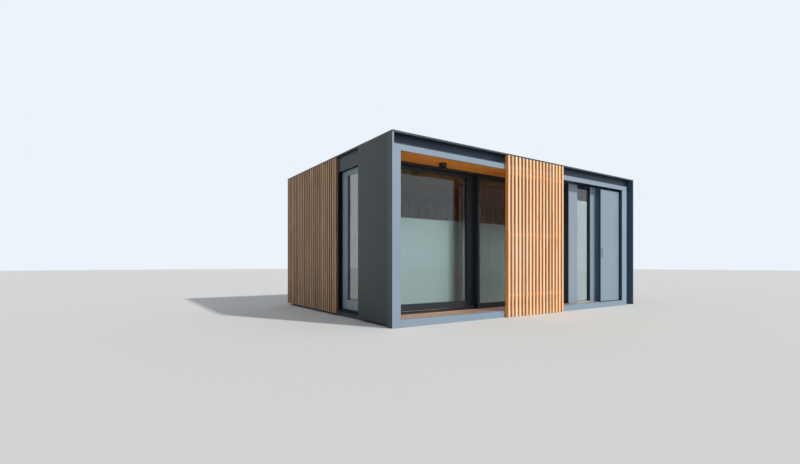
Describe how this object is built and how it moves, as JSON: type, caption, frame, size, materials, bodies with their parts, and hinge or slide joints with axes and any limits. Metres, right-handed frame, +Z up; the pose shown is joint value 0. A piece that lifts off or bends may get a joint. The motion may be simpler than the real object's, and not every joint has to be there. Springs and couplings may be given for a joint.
{
  "type": "garden summerhouse",
  "caption": "Flat-roofed garden room with a recessed glazed porch, a slatted timber screen, a stepped bay with a store door and slatted side walls.",
  "frame": {"origin": "on the ground under the middle of the whole house, the slatted screen included", "axes": "+X along the front to the right, +Y from the front to the back, +Z up"},
  "size_m": [5.8, 3.87, 2.5],
  "materials": {
    "frame_paint": "satin powder coat, pale blue-grey",
    "panel_paint": "satin powder coat, pale grey",
    "dark_paint": "satin powder coat, anthracite",
    "fascia_paint": "satin powder coat, dark blue-grey",
    "edge_paint": "satin powder coat, pale on the front edge and dark elsewhere",
    "reveal_paint": "satin powder coat, navy grey",
    "sash_paint": "satin powder coat, pale blue-grey",
    "window_paint": "satin powder coat, dark grey",
    "cedar": "oiled cedar slats",
    "aged_cedar": "weathered cedar slats",
    "soffit_wood": "oiled cedar boards",
    "deck_wood": "oiled deck boards",
    "floor_wood": "matt oak boards",
    "wall_core": "plywood lining inside, black membrane outside",
    "base": "coated base frame",
    "glazing": "double glazing, pale green tint",
    "membrane": "single-ply roof sheet",
    "black_metal": "matt black",
    "steel": "satin stainless steel"
  },
  "bodies": {
    "house": {"floor_base": "base", "interior_floor": "floor_wood", "porch_deck": "deck_wood", "base_rail": "frame_paint", "left_jamb": "frame_paint", "right_jamb": "frame_paint", "top_beam": "frame_paint", "front_fascia": "fascia_paint", "return_panel": "fascia_paint", "edge_plates": "edge_paint", "left_front_wall": "wall_core", "left_rear_wall": "wall_core", "right_wall": "wall_core", "back_wall": "wall_core", "corner_panels": "dark_paint", "left_battens": "aged_cedar", "right_battens": "aged_cedar", "back_panels": "dark_paint", "roof_deck": "wall_core", "roof_trim": "edge_paint", "roof_membrane": "membrane", "porch_soffit": "soffit_wood", "bay_soffit": "reveal_paint", "ceiling": "wall_core", "downlights": "black_metal", "window_header": "dark_paint", "window_surround": "reveal_paint", "window_frame": "sash_paint", "window_sash": "sash_paint", "window_glass": "glazing", "porch_head": "window_paint", "porch_sill": "window_paint", "porch_posts": "window_paint", "fixed_frame": "window_paint", "fixed_glass": "glazing", "bay_side_wall": "dark_paint", "bay_panels": "panel_paint", "bay_sill": "dark_paint", "bay_window_frame": "window_paint", "bay_window_glass": "glazing", "door_posts": "dark_paint", "door_head": "dark_paint", "bay_end_wall": "wall_core", "hinge_plates": "steel", "screen_battens": "cedar", "screen_rails": "cedar"},
    "sliding_leaf": {"leaf_frame": "window_paint", "leaf_glass": "glazing", "leaf_rollers": "steel", "leaf_pull": "black_metal"},
    "door": {"store_door": "panel_paint", "hinge_leaves": "steel", "door_pull": "panel_paint"}
  },
  "joints": [
    {"name": "leaf_slide", "type": "slide", "parent": "house", "child": "sliding_leaf", "axis": [1, 0, 0], "range_m": [0, 1.6]},
    {"name": "store_door_hinge", "type": "hinge", "parent": "house", "child": "door", "pos_m": [2.468, -1.828, 1.165], "axis": [0, 0, 1], "range_deg": [0, 95]}
  ]
}
